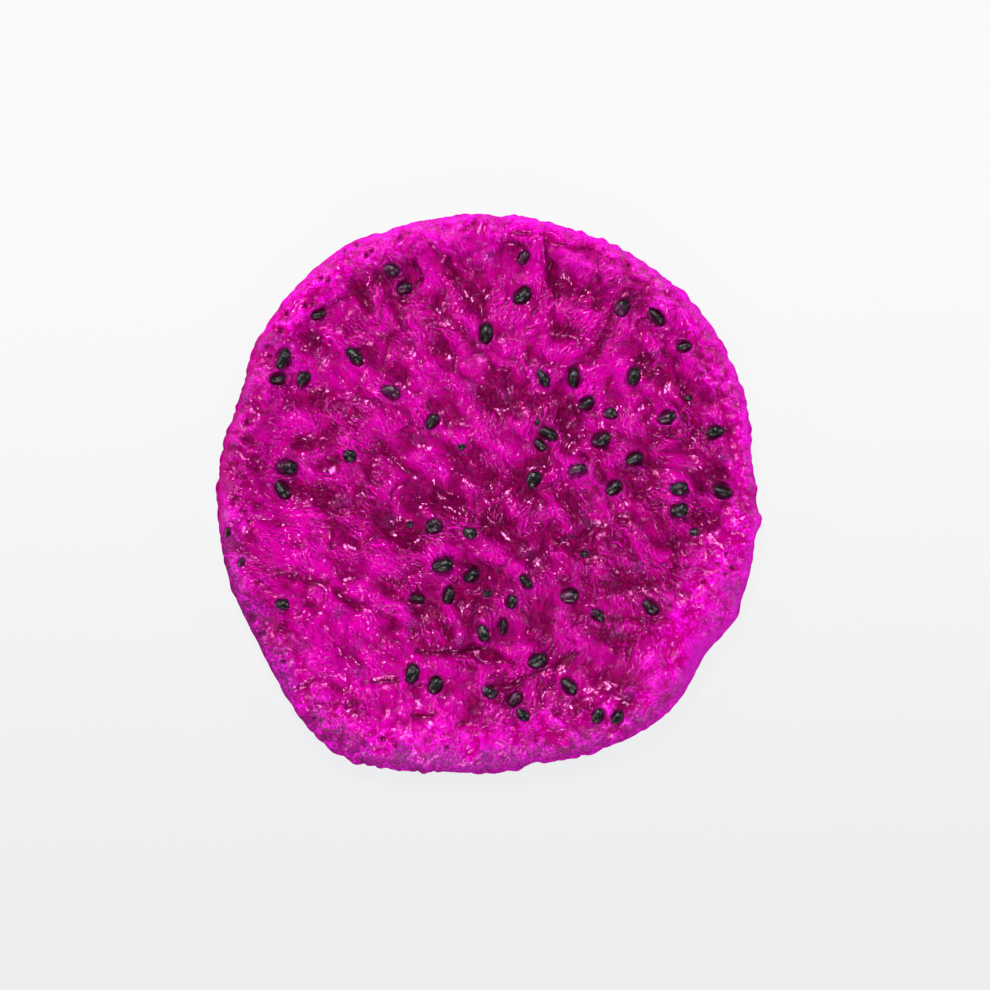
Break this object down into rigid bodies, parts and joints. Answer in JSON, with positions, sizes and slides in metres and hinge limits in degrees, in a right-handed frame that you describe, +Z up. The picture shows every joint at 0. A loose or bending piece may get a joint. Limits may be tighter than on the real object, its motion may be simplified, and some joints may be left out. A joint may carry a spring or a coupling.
{
  "type": "dried dragon fruit slice",
  "caption": "Dried round slice of red-fleshed dragon fruit: a puffy magenta rim round a sunken, wrinkled, glossy middle set with small black seeds, lying flat.",
  "frame": {"origin": "on the surface it rests on, below the middle of its box", "axes": "+Z up, square to the slice; +Y along its longest extent, towards the high side of the rim; +X across it"},
  "size_m": [0.0652, 0.0674, 0.006],
  "materials": {
    "flesh": "leathery magenta dried flesh: velvety on the rim, glossy and finely wrinkled in the sunken middle",
    "seed": "hard black seed coat with a soft blue-grey gloss"
  },
  "bodies": {
    "root": {"dried_slice": "flesh"}
  },
  "joints": []
}
